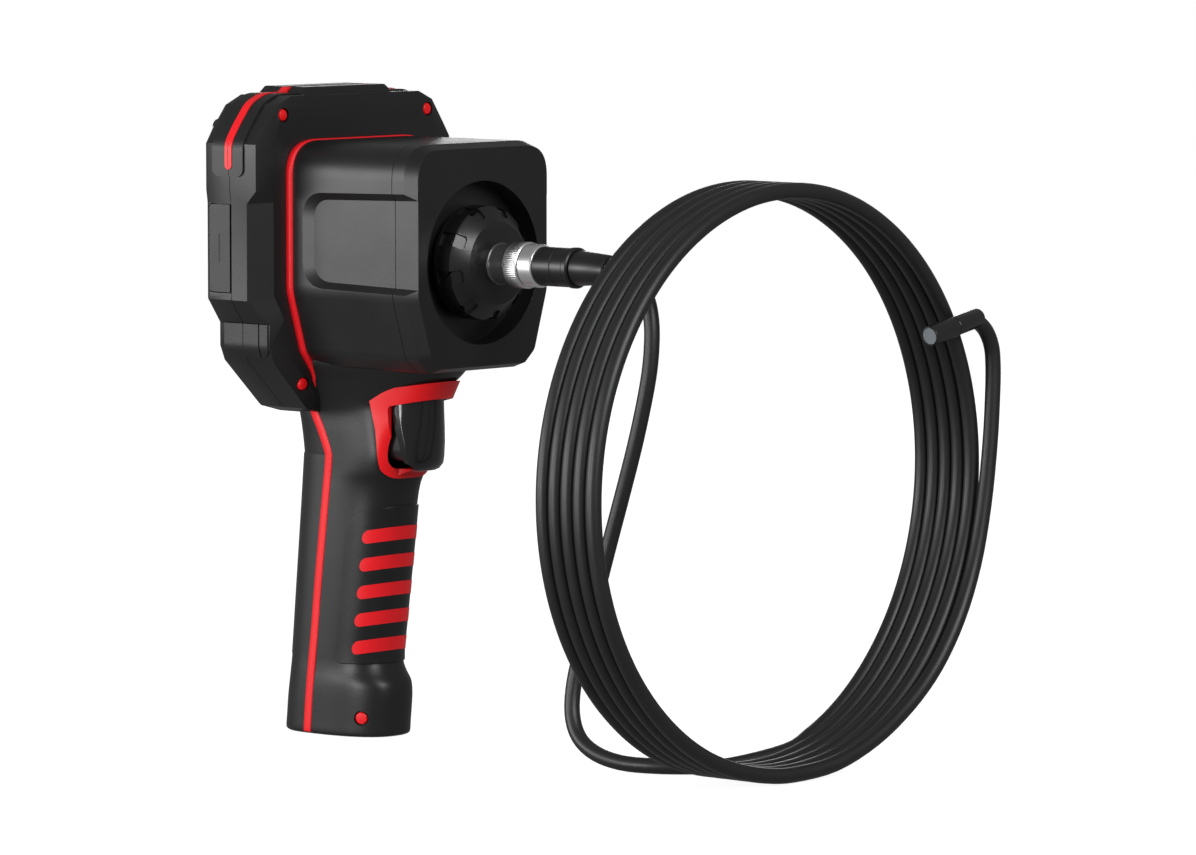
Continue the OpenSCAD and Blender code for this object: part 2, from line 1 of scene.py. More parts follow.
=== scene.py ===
"""Looks of the pistol-grip video borescope. Lengths are in millimetres and scaled on the way in."""

import math

import bmesh
import bpy
from mathutils import Matrix, Vector


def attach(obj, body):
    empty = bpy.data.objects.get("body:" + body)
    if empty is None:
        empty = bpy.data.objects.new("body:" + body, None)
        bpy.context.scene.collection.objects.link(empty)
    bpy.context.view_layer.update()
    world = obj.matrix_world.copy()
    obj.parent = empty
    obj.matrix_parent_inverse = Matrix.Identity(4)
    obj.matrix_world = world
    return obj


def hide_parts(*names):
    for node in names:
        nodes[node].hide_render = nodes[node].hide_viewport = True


MM = 0.001
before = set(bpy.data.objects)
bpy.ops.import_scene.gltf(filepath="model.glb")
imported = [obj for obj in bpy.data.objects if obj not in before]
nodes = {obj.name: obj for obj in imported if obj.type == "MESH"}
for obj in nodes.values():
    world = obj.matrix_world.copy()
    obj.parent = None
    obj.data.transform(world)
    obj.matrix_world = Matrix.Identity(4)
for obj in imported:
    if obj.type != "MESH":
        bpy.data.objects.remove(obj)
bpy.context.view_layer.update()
scene = bpy.context.scene
scene.view_settings.view_transform = "Standard"


# ---------- camera ----------

EYE = (1.88467, -1.96972, 0.35701)
AIM = (0.07277, 0.06481, 0.11935)
LENS_MM = 210.26
SENSOR_MM = 36


def add_camera():
    data = bpy.data.cameras.new("camera")
    data.lens = LENS_MM
    data.sensor_width = SENSOR_MM
    data.clip_end = 200
    obj = bpy.data.objects.new("camera", data)
    scene.collection.objects.link(obj)
    eye, aim = Vector(EYE), Vector(AIM)
    obj.location = eye
    obj.rotation_euler = (aim - eye).to_track_quat("-Z", "Y").to_euler()
    scene.camera = obj


add_camera()


# ---------- helpers: numbers ----------

def catmull(points, steps):
    """A smooth run of points through the given ones, steps per span."""
    p = [Vector(q) for q in points]
    p = [p[0] * 2 - p[1]] + p + [p[-1] * 2 - p[-2]]
    out = []
    for i in range(1, len(p) - 2):
        a, b, c, d = p[i - 1], p[i], p[i + 1], p[i + 2]
        for k in range(steps):
            t = k / steps
            out.append(0.5 * (2 * b + (c - a) * t + (2 * a - 5 * b + 4 * c - d) * t * t
                              + (3 * b - a - 3 * c + d) * t ** 3))
    out.append(p[-2].copy())
    return out


def smoothstep(t):
    """Eases from 0 to 1."""
    t = min(1, max(0, t))
    return t * t * (3 - 2 * t)


def arc(cx, cy, r, a0, a1, n):
    """Points on an arc, angles in degrees."""
    angles = [math.radians(a0) + math.radians(a1 - a0) / n * i for i in range(n + 1)]
    return [(cx + r * math.cos(a), cy + r * math.sin(a)) for a in angles]


def rounded(points, radii, n=6):
    """A closed outline with its corners rounded. radii is one number or one for each corner."""
    count = len(points)
    if not hasattr(radii, "__len__"):
        radii = [radii] * count
    out = []
    for i, r in enumerate(radii):
        here = Vector(points[i])
        back = Vector(points[i - 1]) - here
        ahead = Vector(points[(i + 1) % count]) - here
        if r <= 0:
            out.append(here)
            continue
        half = back.angle(ahead) / 2
        reach = min(r / math.tan(half), 0.48 * back.length, 0.48 * ahead.length)
        start, end = here + back.normalized() * reach, here + ahead.normalized() * reach
        for k in range(n + 1):
            t = k / n
            out.append(start * (1 - t) ** 2 + here * 2 * t * (1 - t) + end * t * t)
    return out


def inset(points, amount):
    """A closed outline moved inwards. It runs anticlockwise."""
    count = len(points)
    out = []
    for i in range(count):
        a, b, c = (Vector(points[(i + k) % count]) for k in (-1, 0, 1))
        if (b - a).length < 1e-6 or (c - b).length < 1e-6:
            out.append(b.copy())
            continue
        n1 = Vector((-(b - a).y, (b - a).x)).normalized()
        n2 = Vector((-(c - b).y, (c - b).x)).normalized()
        mid = (n1 + n2).normalized()
        out.append(b + mid * amount / max(0.3, mid.dot(n1)))
    return out


# ---------- helpers: meshes ----------

def mesh_object(name, points, faces):
    """An object from points in millimetres, with its faces turned outwards."""
    data = bpy.data.meshes.new(name)
    data.from_pydata([tuple(Vector(p) * MM) for p in points], [], faces)
    data.validate()
    build = bmesh.new()
    build.from_mesh(data)
    bmesh.ops.recalc_face_normals(build, faces=build.faces)
    build.to_mesh(data)
    build.free()
    obj = bpy.data.objects.new(name, data)
    scene.collection.objects.link(obj)
    return obj


def loft(name, rings, wrap=False):
    """Rings of equal length joined into a closed skin, capped at both ends unless it wraps."""
    size = len(rings[0])
    points = [p for ring in rings for p in ring]
    faces = []
    spans = len(rings) if wrap else len(rings) - 1
    for i in range(spans):
        a, b = i * size, (i + 1) % len(rings) * size
        for k in range(size):
            j = (k + 1) % size
            faces.append((a + k, a + j, b + j, b + k))
    if not wrap:
        faces.append(tuple(range(size - 1, -1, -1)))
        faces.append(tuple((len(rings) - 1) * size + k for k in range(size)))
    return mesh_object(name, points, faces)


def prism_x(name, outline, x0, x1):
    """A Y-Z outline extruded along X."""
    return loft(name, [[(x, p[0], p[1]) for p in outline] for x in (x0, x1)])


def prism_y(name, outline, y0, y1):
    """An X-Z outline extruded along Y."""
    return loft(name, [[(p[0], y, p[1]) for p in outline] for y in (y0, y1)])


def lathe(name, profile, place, sides=96):
    """A profile of (along, radius) turned round the local Z of place."""
    rings = []
    for along, radius in profile:
        ring = []
        for k in range(sides):
            a = 2 * math.pi * k / sides
            ring.append(place @ Vector((radius * math.cos(a), radius * math.sin(a), along)))
        rings.append(ring)
    return loft(name, rings)


def modify(obj, kind, **settings):
    """Adds a modifier and sets it."""
    mod = obj.modifiers.new(kind.title(), kind)
    for key, value in settings.items():
        setattr(mod, key, value)
    return mod


def bake(obj):
    """Turns the modifiers of a piece into its mesh."""
    bpy.context.view_layer.update()
    graph = bpy.context.evaluated_depsgraph_get()
    data = bpy.data.meshes.new_from_object(obj.evaluated_get(graph))
    obj.modifiers.clear()
    obj.data = data
    return obj


def cut(obj, *cutters, operation="DIFFERENCE"):
    """Cuts the cutters out of a piece, and removes them."""
    for cutter in cutters:
        modify(obj, "BOOLEAN", object=cutter, operation=operation, solver="EXACT")
    bake(obj)
    for cutter in cutters:
        bpy.data.objects.remove(cutter)
    return obj


def join(name, pieces):
    """Several meshes as one object."""
    build = bmesh.new()
    for piece in pieces:
        build.from_mesh(piece.data)
    data = bpy.data.meshes.new(name)
    build.to_mesh(data)
    build.free()
    for piece in pieces:
        bpy.data.objects.remove(piece)
    obj = bpy.data.objects.new(name, data)
    scene.collection.objects.link(obj)
    return obj


def soften(obj, width=0.4, angle=28, segments=3):
    """Smooth faces, with the hard edges rounded over."""
    for face in obj.data.polygons:
        face.use_smooth = True
    modify(obj, "BEVEL", width=width * MM, segments=segments, limit_method="ANGLE",
           angle_limit=math.radians(angle), harden_normals=True, use_clamp_overlap=True)
    return obj


def dress(obj, material, body, replaced=()):
    """Gives a piece its material and its body, and hides the nodes that it stands for."""
    obj.data.materials.clear()
    obj.data.materials.append(material)
    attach(obj, body)
    if replaced:
        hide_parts(*replaced)
    return obj


# ---------- materials ----------

def plastic(name, color, rough, spread=0.025, grain=0.0, grain_scale=900, coat=0.0, specular=0.5,
            metallic=0.0, wear=0.0):
    """A moulded surface: its roughness varies in soft patches, with an optional fine grain."""
    mat = bpy.data.materials.new(name)
    mat.use_nodes = True
    tree = mat.node_tree
    shader = tree.nodes["Principled BSDF"]
    shader.inputs["Metallic"].default_value = metallic
    shader.inputs["Specular IOR Level"].default_value = specular
    shader.inputs["Coat Weight"].default_value = coat
    shader.inputs["Coat Roughness"].default_value = 0.12
    place = tree.nodes.new("ShaderNodeTexCoord")
    patch = tree.nodes.new("ShaderNodeTexNoise")
    patch.inputs["Scale"].default_value = 45
    patch.inputs["Detail"].default_value = 4
    tree.links.new(place.outputs["Object"], patch.inputs["Vector"])
    level = tree.nodes.new("ShaderNodeMapRange")
    level.inputs["From Min"].default_value = 0.3
    level.inputs["From Max"].default_value = 0.7
    level.inputs["To Min"].default_value = rough - spread
    level.inputs["To Max"].default_value = rough + spread
    tree.links.new(patch.outputs["Fac"], level.inputs["Value"])
    tree.links.new(level.outputs["Result"], shader.inputs["Roughness"])
    tint = tree.nodes.new("ShaderNodeMix")
    tint.data_type = "RGBA"
    tint.inputs["A"].default_value = (*color, 1)
    tint.inputs["B"].default_value = (*[c * (1 + wear) + 0.002 * wear for c in color], 1)
    tree.links.new(patch.outputs["Fac"], tint.inputs["Factor"])
    tree.links.new(tint.outputs["Result"], shader.inputs["Base Color"])
    if grain:
        fine = tree.nodes.new("ShaderNodeTexNoise")
        fine.inputs["Scale"].default_value = grain_scale
        fine.inputs["Detail"].default_value = 2
        bump = tree.nodes.new("ShaderNodeBump")
        bump.inputs["Strength"].default_value = grain
        bump.inputs["Distance"].default_value = 0.0001
        tree.links.new(place.outputs["Object"], fine.inputs["Vector"])
        tree.links.new(fine.outputs["Fac"], bump.inputs["Height"])
        tree.links.new(bump.outputs["Normal"], shader.inputs["Normal"])
    return mat


def glow(name, color, strength):
    """A surface that shines."""
    mat = plastic(name, color, 0.4)
    shader = mat.node_tree.nodes["Principled BSDF"]
    shader.inputs["Emission Color"].default_value = (*color, 1)
    shader.inputs["Emission Strength"].default_value = strength
    return mat


HOUSING = plastic("housing_black", (0.0085, 0.0085, 0.009), 0.38, grain=0.25, specular=0.4, wear=0.3)
SOFT = plastic("bumper_black", (0.009, 0.009, 0.0095), 0.43, grain=0.3, specular=0.35, wear=0.3)
RUBBER = plastic("grip_rubber", (0.0075, 0.0075, 0.008), 0.36, grain=0.35, specular=0.4, wear=0.2)
RED = plastic("seal_red", (0.78, 0.008, 0.014), 0.42, grain=0.15, specular=0.35, wear=0.1)
RED_HARD = plastic("frame_red", (0.78, 0.006, 0.01), 0.33, grain=0.1, specular=0.4, wear=0.08)
DIAL = plastic("dial_black", (0.007, 0.007, 0.0075), 0.32, grain=0.15, specular=0.5, wear=0.2)
SOCKET = plastic("socket_black", (0.09, 0.09, 0.092), 0.28, specular=0.6, metallic=0.6, wear=0.2)
CHROME = plastic("chrome", (0.88, 0.88, 0.89), 0.33, spread=0.04, metallic=1.0, wear=0.02)
STEEL = plastic("steel", (0.55, 0.56, 0.58), 0.3, metallic=1.0, wear=0.05)
GLOSS = plastic("trigger_black", (0.008, 0.008, 0.0085), 0.2, spread=0.03, specular=0.5, coat=0.2)
PLUG = plastic("plug_black", (0.008, 0.008, 0.0085), 0.36, spread=0.02, specular=0.5)
CABLE = plastic("cable_black", (0.011, 0.011, 0.0115), 0.43, spread=0.04, specular=0.45)
TIP = plastic("tip_black", (0.02, 0.02, 0.021), 0.3, specular=0.5, metallic=0.3)
SCREEN = plastic("screen_glass", (0.006, 0.007, 0.009), 0.08, spread=0.02, coat=0.6)
KEY = plastic("key_rubber", (0.035, 0.035, 0.038), 0.45, grain=0.2, wear=0.2)
BOARD = plastic("board_green", (0.02, 0.12, 0.05), 0.45)
GREY = plastic("inner_grey", (0.06, 0.062, 0.066), 0.5)
BRONZE = plastic("bearing_bronze", (0.5, 0.33, 0.12), 0.4, metallic=1.0)
WRAP = plastic("cell_wrap", (0.03, 0.16, 0.45), 0.3)
LENS = plastic("lens_black", (0.01, 0.012, 0.02), 0.06, spread=0.01, coat=1.0)
LED = glow("led_white", (0.9, 0.75, 0.35), 0.5)
WINDOW = plastic("tip_window_glass", (0.25, 0.28, 0.3), 0.05, spread=0.01)
MARK = plastic("key_mark", (0.55, 0.55, 0.55), 0.4)
SCREEN_OFF = plastic("screen_off", (0.012, 0.014, 0.018), 0.12, spread=0.02, coat=0.5)


# ---------- probe cable ----------

CABLE_D = 6
COIL_R = 108.5
COIL_TURNS = 5
COIL_X = 200
COIL_Y = 1
COIL_Z = COIL_R + CABLE_D / 2
SHIFT = 28             # degrees before and after the bottom in which a turn moves over to the next

LEAD_POINTS = [
    (137, 0, 187), (146, -0.4, 185.8), (153, -1.4, 182), (158, -2.6, 176), (160.6, -3.6, 168.5),
    (161.4, -4.4, 160), (160.8, -5, 150), (158.6, -5.6, 138), (154.6, -6.2, 122), (149.2, -6.8, 104),
    (143.4, -8, 84), (138.4, -10, 64), (134.6, -13, 46), (132.8, -16, 32), (134, -18.6, 20),
    (139, -20.4, 11.4), (148, -21.2, 6.2), (160, -20.4, 3.6), (173, -16.4, 3.1), (185, -8, 3.1),
    (193.6, 3, 3.2),
]
TAIL_POINTS = [
    (229.4, 22, 5.2), (230.2, 44, 12.4), (230.4, 64, 23.4), (230.6, 80, 36.6), (230.8, 93, 53.6),
    (231, 102.4, 73.6), (231.2, 108.2, 96), (231.4, 111.6, 120), (231.6, 112.8, 140), (231.6, 112.8, 150.6),
    (231.6, 111.7, 157), (231.6, 108.4, 162.6), (231.6, 103.6, 166.2), (231.6, 99.4, 167.2),
]
TIP_LEAN = 100.7       # degrees between the camera head and straight up
SLEEVE_L = 11
HEAD_L = 14.6


def coil_points():
    """The five turns, from just past the bottom of the first to the bottom of the last."""
    out = []
    first, step = 15, 7.5
    for i in range(int((360 * COIL_TURNS - first) / step) + 1):
        a = first + i * step
        turn = round(a / 360)
        moved = smoothstep((a - 360 * turn + SHIFT) / (2 * SHIFT)) if turn else 1
        x = COIL_X + CABLE_D * (turn - 1 + moved)
        y = COIL_Y + COIL_R * math.sin(math.radians(a))
        out.append((x, y, COIL_Z - COIL_R * math.cos(math.radians(a))))
    return out


def build_cable():
    route = catmull(LEAD_POINTS + coil_points() + TAIL_POINTS, 4)
    data = bpy.data.curves.new("probe_cable", "CURVE")
    data.dimensions = "3D"
    data.bevel_depth = CABLE_D / 2 * MM
    data.bevel_resolution = 6
    data.use_fill_caps = True
    spline = data.splines.new("POLY")
    spline.points.add(len(route) - 1)
    for point, place in zip(spline.points, route):
        point.co = (*(place * MM), 1)
    obj = bpy.data.objects.new("probe_cable", data)
    scene.collection.objects.link(obj)
    dress(obj, CABLE, "body", ["probe_cable_lead", "probe_cable_coil", "probe_cable_tail"])
    length = sum((b - a).length for a, b in zip(route, route[1:])) * MM
    return obj, length


def build_tip():
    place = Matrix.Translation(Vector(TAIL_POINTS[-1])) @ Matrix.Rotation(math.radians(TIP_LEAN), 4, "X")
    sleeve = lathe("tip_sleeve_skin", [
        (-4.6, 3.05), (-4.4, 3.4), (-3.6, 3.68), (SLEEVE_L - 0.7, 3.7), (SLEEVE_L - 0.35, 3.5),
        (SLEEVE_L - 0.3, 2)
    ], place, 48)
    soften(sleeve, 0.12)
    dress(sleeve, TIP, "body", ["tip_sleeve"])
    front = SLEEVE_L + HEAD_L
    head = lathe("tip_head_skin", [
        (SLEEVE_L - 0.3, 2), (SLEEVE_L, 3.6), (SLEEVE_L + 0.3, 3.9), (front - 0.4, 3.9), (front, 3.55),
        (front, 3.25), (front - 0.9, 3.2)
    ], place, 48)
    soften(head, 0.1)
    dress(head, TIP, "body", ["tip_housing"])
    return [sleeve, head]


cable, cable_length = build_cable()
tip_pieces = build_tip()


# ---------- screen unit ----------

REAR_X = -27
SPLIT_X = -11
PLATE_X = 4.6
UPPER_EDGE_X = 3.0     # where the front bevel starts, high and low on the unit
MIDDLE_EDGE_X = -2.6   # and beside the port covers
SEAM = 0.12            # half of the gap that shows between two mouldings
TRIM_HALF = 1.85       # half of the width of the red band over the top
SCREW_SPOTS = [(side * y, z) for y, z in ((40.6, 243), (29.9, 138.5)) for side in (-1, 1)]
SCREW_HOLE_R = 2.75

# The keys: Y, Z, end radius, half of the straight length
KEYS = {
    "key_ok": (0, 156, 5.5, 0), "key_power": (-21, 156, 4.5, 0), "key_back": (21, 156, 4.5, 0),
    "key_up": (0, 169, 3, 4), "key_down": (0, 143, 3, 4),
}
KEY_BODIES = {"key_ok": "ok_key", "key_power": "power_key", "key_back": "back_key",
              "key_up": "up_key", "key_down": "down_key"}
KEY_GAP = 0.3

# The port covers on both sides
COVER_X0 = -22.8
COVER_X1 = -11.7
COVER_Z0 = 174.5
COVER_Z1 = 208.5
COVER_GAP = 0.3

# Left half of the outline, from the bottom: Y, Z, where the front bevel starts, its inset on the front plate
HEAD_HALF = [
    (15, 125.8, 1.6, 5), (25.4, 128.4, 1.5, 5.5), (44.8, 147, UPPER_EDGE_X, 6.5),
    (47.3, 153, UPPER_EDGE_X, 6.5), (47.3, 162, UPPER_EDGE_X, 6.5), (53.9, 171.5, MIDDLE_EDGE_X, 7.4),
    (53.9, 209, MIDDLE_EDGE_X, 7.4), (54.6, 214, UPPER_EDGE_X, 7.2), (54.6, 232, UPPER_EDGE_X, 7),
    (51, 237.5, UPPER_EDGE_X, 6.5), (43.6, 246.8, 4, 2.8), (36, 250.2, 4, 2.8),
]


def head_ring(amount, x=None):
    """The outline of the screen unit, moved in by an amount for each corner, at X or at its front edge."""
    left = [(p[0], p[1]) for p in HEAD_HALF]
    outline = left + [(-y, z) for y, z in reversed(left)]
    edges = [p[2] for p in HEAD_HALF + HEAD_HALF[::-1]]
    insets = [p[3] for p in HEAD_HALF + HEAD_HALF[::-1]]
    if amount == "plate":
        moved = [inset(outline, insets[i])[i] for i in range(len(outline))]
    else:
        moved = inset(outline, amount)
    return [(edges[i] if x is None else x, p[0], p[1]) for i, p in enumerate(moved)]


def head_path(spots, steps=8):
    """A path along the side of the screen unit, its corners eased: (Y, Z) and the normal at each row."""
    eased = [Vector(spots[0])]
    for i in range(1, len(spots) - 1):
        here, back, ahead = Vector(spots[i]), Vector(spots[i - 1]), Vector(spots[i + 1])
        reach = min(3, 0.4 * (back - here).length, 0.4 * (ahead - here).length)
        a = here + (back - here).normalized() * reach
        b = here + (ahead - here).normalized() * reach
        for k in range(steps + 1):
            t = k / steps
            eased.append(a * (1 - t) ** 2 + here * 2 * t * (1 - t) + b * t * t)
    eased.append(Vector(spots[-1]))
    fine = []
    for a, b in zip(eased, eased[1:]):
        count = max(1, round((b - a).length))
        fine += [a + (b - a) * k / count for k in range(count)]
    fine.append(eased[-1])
    out = []
    for i, p in enumerate(fine):
        a, b = fine[max(0, i - 1)], fine[min(len(fine) - 1, i + 1)]
        along = (b - a).normalized()
        out.append((p, Vector((along.y, -along.x))))
    return out


def strip(name, path, x0, x1, outward, inward, corner=0, front_corner=None):
    """A band laid along a path on the side of the unit. Its start has rounded corners."""
    rings = []
    run = 0
    last = path[0][0]
    front = corner if front_corner is None else front_corner
    for spot, normal in path:
        run += (spot - last).length
        last = spot
        pull = [0, 0]
        for side, r in enumerate((corner, front)):
            if r and run < r:
                pull[side] = r - math.sqrt(max(0, r * r - (r - run - 0.05) ** 2))
        low, high = x0 + pull[0], x1 - pull[1]
        a, b = spot + normal * outward, spot - normal * inward
        rings.append([(low, b.x, b.y), (low, a.x, a.y), (high, a.x, a.y), (high, b.x, b.y)])
    return loft(name, rings)


def mirrored(obj, name):
    """A copy of a piece on the other side of the middle plane."""
    data = obj.data.copy()
    data.transform(Matrix.Scale(-1, 4, (0, 1, 0)))
    data.flip_normals()
    other = bpy.data.objects.new(name, data)
    scene.collection.objects.link(other)
    return other


def facing_x(y, z):
    """A place at X = 0 whose own Z axis points forwards."""
    return Matrix.Translation((0, y, z)) @ Matrix.Rotation(math.radians(90), 4, "Y")


def key_outline(y, z, r, half):
    """A round key, or one with straight sides where half is over 0."""
    right = arc(y + half, z, r, -90, 90, 16)
    left = arc(y - half, z, r, 90, 270, 16)
    return right + left[(1 if half == 0 else 0):(-1 if half == 0 else None)]


def build_head():
    back = loft("back_cover_skin", [
        head_ring(3.2, REAR_X), head_ring(0.6, REAR_X + 2.6), head_ring(0, REAR_X + 4),
        head_ring(0, SPLIT_X - SEAM)
    ])
    front = loft("front_frame_skin", [
        head_ring(0, SPLIT_X + SEAM), head_ring(0), head_ring("plate", PLATE_X)
    ])
    pockets = [lathe("pocket", [(1.3, SCREW_HOLE_R), (9, SCREW_HOLE_R)], facing_x(y, z), 32)
               for y, z in SCREW_SPOTS]
    cut(front, join("pockets", pockets))
    window = rounded([(-48.1, 180.9), (48.1, 180.9), (48.1, 241.1), (-48.1, 241.1)], 4)
    cut(back, prism_x("window", window, REAR_X - 1, REAR_X + 1.25))
    holes = [prism_x("hole", key_outline(y, z, r + KEY_GAP, half), REAR_X - 1, REAR_X + 3)
             for y, z, r, half in KEYS.values()]
    cut(back, join("holes", holes))
    for side in (-1, 1):
        x0, z0, z1 = COVER_X0 - COVER_GAP, COVER_Z0 - COVER_GAP, COVER_Z1 + COVER_GAP
        outline = rounded([(x0, z0), (SPLIT_X, z0), (SPLIT_X, z1), (x0, z1)], [2, 0, 0, 2], 5)
        cut(back, prism_y("flap_pocket", outline, side * 52.2, side * 56))
        port = rounded([(-19.2, 181), (-15.2, 181), (-15.2, 202), (-19.2, 202)], 1, 4)
        cut(back, prism_y("port", port, side * 49.6, side * 53))
    soften(back, 0.55)
    soften(front, 0.55)
    dress(back, HOUSING, "body", ["back_cover"])
    dress(front, HOUSING, "body", ["rear_housing"])


def build_keys():
    for name, (y, z, r, half) in KEYS.items():
        rings = [[(REAR_X + x, p[0], p[1]) for p in key_outline(y, z, r - pull, half)]
                 for x, pull in ((-1, 1.2), (-0.85, 0.5), (-0.4, 0.05), (1.4, 0))]
        key = loft(name + "_cap", rings)
        soften(key, 0.15)
        dress(key, KEY, KEY_BODIES[name], [name])
    marks = {
        "key_ok": arc(0, 156, 2.2, 0, 360, 24)[:-1],
        "key_up": [(-2, 168.2), (2, 168.2), (0, 170.4)],
        "key_down": [(-2, 143.8), (0, 141.6), (2, 143.8)],
        "key_back": [(19.2, 156), (22, 157.9), (22, 154.1)],
        "key_power": arc(-21, 156, 1.3, 0, 360, 20)[:-1],
    }
    for name, outline in marks.items():
        mark = prism_x(name + "_mark", outline, REAR_X - 1.12, REAR_X - 0.8)
        soften(mark, 0.05)
        dress(mark, MARK, KEY_BODIES[name])


def build_screen():
    outline = rounded([(-48, 181), (48, 181), (48, 241), (-48, 241)], 4)
    glass = prism_x("screen_glass", outline, REAR_X, REAR_X + 1.2)
    soften(glass, 0.2)
    dress(glass, SCREEN, "body", ["display_glass"])
    border = rounded([(-43.5, 184.6), (43.5, 184.6), (43.5, 237.4), (-43.5, 237.4)], 1.5)
    picture = prism_x("screen_area", border, REAR_X - 0.03, REAR_X + 0.3)
    dress(picture, SCREEN_OFF, "body")


def build_covers():
    corners = [(COVER_X0, COVER_Z0), (COVER_X1, COVER_Z0), (COVER_X1, COVER_Z1), (COVER_X0, COVER_Z1)]
    outline = rounded(corners, [1.8, 0.6, 0.6, 1.8], 5)
    for side, name, body, node in (
            (-1, "data_flap", "usb_flap", "usb_cover"), (1, "card_flap", "card_flap", "card_cover")):
        flap = prism_y(name, outline, *sorted((side * 52.4, side * 54.05)))
        groove = rounded([(-17.6, 186), (-16.8, 186), (-16.8, 197), (-17.6, 197)], 0.38, 4)
        cut(flap, prism_y("mark", groove, *sorted((side * 53.85, side * 55))))
        tongue = rounded([(-18.9, 183), (-15.5, 183), (-15.5, 200), (-18.9, 200)], 0.8, 4)
        flap = join(name, [flap, prism_y("tongue", tongue, *sorted((side * 51, side * 52.5)))])
        soften(flap, 0.3, angle=40)
        dress(flap, SOFT, body, [node])


def build_bumpers():
    upper = [(54.6, 219.4), (54.6, 232), (51, 237.5), (43.6, 246.8), (36, 250.2), (25.5, 250.2)]
    lower = [(45.8, 149.3), (47.3, 153), (47.3, 162.2)]
    slab = [(SPLIT_X - 0.11, 100), (SPLIT_X + 0.11, 100), (SPLIT_X + 0.11, 237), (SPLIT_X - 0.11, 237)]
    for name, path, x0, x1, proud, corner, front in (
            ("upper", upper, -19.8, -3.4, 0.7, 3, 3), ("lower", lower, -21.2, 2.2, 0.5, 3, 4)):
        left = strip("bumper_" + name + "_left_skin", head_path(path), x0, x1, proud, 1.5, corner, front)
        cut(left, prism_y("slit", slab, 47.55 if name == "lower" else 54.9, 60))
        if name == "lower":
            groove = [(-2.7, 100), (-2.2, 100), (-2.2, 200), (-2.7, 200)]
            cut(left, prism_y("groove", groove, 40, 60))
        right = mirrored(left, "bumper_" + name + "_right_skin")
        for obj, side in ((left, "left"), (right, "right")):
            soften(obj, 0.45, angle=40)
            dress(obj, SOFT, "body", ["bumper_" + name + "_" + side])


def build_top():
    cap = loft("top_pad_skin", [
        [(-24.3, -25, 249.6), (0, -25, 249.6), (0, 25, 249.6), (-24.3, 25, 249.6)],
        [(-24.3, -25, 250.5), (-0.2, -25, 250.5), (-0.2, 25, 250.5), (-24.3, 25, 250.5)],
        [(-23.4, -22.6, 253.2), (-1.6, -22.6, 253.2), (-1.6, 22.6, 253.2), (-23.4, 22.6, 253.2)],
    ])
    groove = [(SPLIT_X - TRIM_HALF - 0.2, 252.3), (SPLIT_X + TRIM_HALF + 0.2, 252.3),
              (SPLIT_X + TRIM_HALF + 0.2, 255), (SPLIT_X - TRIM_HALF - 0.2, 255)]
    cut(cap, prism_y("groove", groove, -30, 30))
    soften(cap, 0.6)
    dress(cap, SOFT, "body", ["top_bumper"])
    half = [(55.3, 222), (55.3, 232.2), (51.6, 238), (44, 247.4), (36.2, 250.9), (25.9, 250.9), (23.3, 253),
            (20.6, 252.5), (0, 252.5)]
    left = strip("trim", head_path(half), SPLIT_X - TRIM_HALF, SPLIT_X + TRIM_HALF, 0.3, 1.2,
                 TRIM_HALF - 0.05)
    slab = [(SPLIT_X - 0.12, 200), (SPLIT_X + 0.12, 200), (SPLIT_X + 0.12, 234), (SPLIT_X - 0.12, 234)]
    cut(left, prism_y("slit", slab, 54.9, 60))
    right = mirrored(left, "trim_right")
    trim = join("top_trim_skin", [left, right])
    soften(trim, 0.25, angle=40)
    dress(trim, RED, "body", ["top_trim"])


def build_head_screws():
    profile = [(1, 0.4), (1, 2.45), (3.6, 2.45), (4.3, 2.05), (4.6, 1.2), (4.65, 0.1)]
    plugs = [lathe("plug", profile, facing_x(y, z), 40) for y, z in SCREW_SPOTS]
    plugs = join("head_screw_plugs", plugs)
    soften(plugs, 0.15)
    dress(plugs, RED_HARD, "body", ["head_screws"])


build_head()
build_keys()
build_screen()
build_covers()
build_bumpers()
build_top()
build_head_screws()


# ---------- nose ----------

NOSE_HALF_W = 38.4
NOSE_X = 71.5
CAP_X = 59.6
PROBE_Z = 187
RECESS_R = 31.5
RECESS_X = 62
FACING = facing_x(0, PROBE_Z)

# The right half of the outline from the bottom, with the radius of each corner
NOSE_RIGHT = [(24.5, 145.3, 4), (31, 151, 7), (NOSE_HALF_W, 175.2, 18), (NOSE_HALF_W, 233, 14)]
NOSE_CORNERS = [(-24.5, 145.3, 4)] + NOSE_RIGHT + [(-y, z, r) for y, z, r in NOSE_RIGHT[:0:-1]]


def nose_outline(amount=0):
    """The outline of the nose, moved inwards by an amount."""
    outline = rounded([(y, z) for y, z, _ in NOSE_CORNERS], [r for _, _, r in NOSE_CORNERS], 18)
    return inset(outline, amount) if amount else outline


def nose_ring(x, amount=0):
    return [(x, p[0], p[1]) for p in nose_outline(amount)]


def panel_cutter(side):
    """The shallow recess in a side of the nose, with sloping walls."""
    def outline(back, high, low):
        corners = [(16.7 - back, 179.4 - low), (80, 177.9 - low), (80, 212.2 + high),
                   (16.7 - back, 210.8 + high)]
        return rounded(corners, [9 + low, 0, 0, 8 + high], 16)
    rings = []
    for depth, back, high, low in ((2, 0, 0, 0), (0, 4.4, 2.6, 2.6), (-1, 6.6, 3.9, 3.9)):
        rings.append([(p[0], side * (NOSE_HALF_W - depth), p[1]) for p in outline(back, high, low)])
    return loft("panel", rings)


